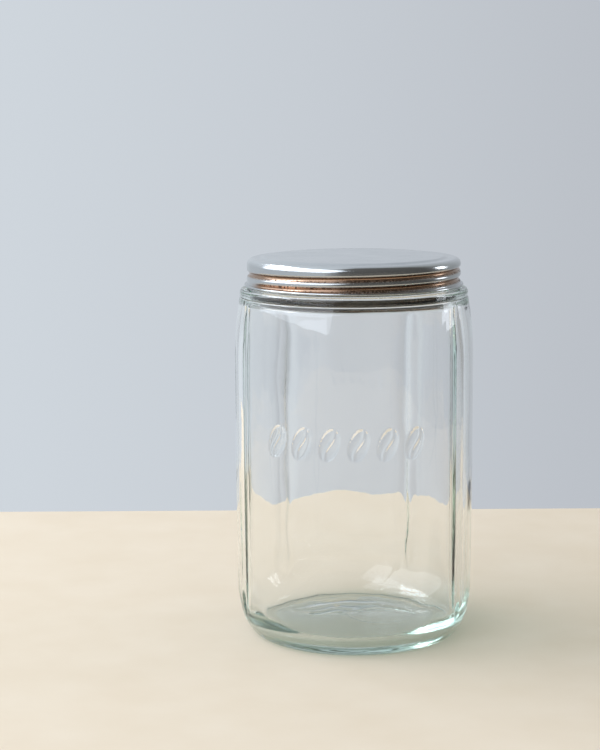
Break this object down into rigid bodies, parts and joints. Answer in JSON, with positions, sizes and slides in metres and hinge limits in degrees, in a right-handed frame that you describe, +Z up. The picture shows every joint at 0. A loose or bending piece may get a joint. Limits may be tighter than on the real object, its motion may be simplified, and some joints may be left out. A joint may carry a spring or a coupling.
{
  "type": "food canister",
  "caption": "Round clear glass storage jar with bowed panels between upright grooves, and a threaded aluminium lid with a sealing liner.",
  "frame": {"origin": "centre of the jar's base, on the surface that it stands on", "axes": "+Z up along the jar's axis; the label panel with the row of raised beans faces -Y"},
  "size_m": [0.127, 0.1278, 0.2032],
  "materials": {
    "jar_glass": "clear pressed glass, smooth, faint blue-green in thick edges",
    "lid_aluminium": "spun, semi-gloss, lightly worn",
    "liner_board": "aged, stained pulpboard, matte"
  },
  "bodies": {
    "jar": {"glass_jar": "jar_glass"},
    "liner": {"lid_liner": "liner_board"},
    "lid": {"screw_lid": "lid_aluminium"}
  },
  "joints": [
    {"name": "lid_rise", "type": "slide", "parent": "jar", "child": "liner", "axis": [0, 0, 1], "range_m": [0, 0.01652]},
    {"name": "lid_turn", "type": "hinge", "parent": "liner", "child": "lid", "pos_m": [0, 0, 0.2], "axis": [0, 0, 1], "range_deg": [0, 1170]}
  ],
  "couplings": [
    {"joint": "lid_rise", "follows": "lid_turn", "m_per_rad": 0.00080851}
  ]
}
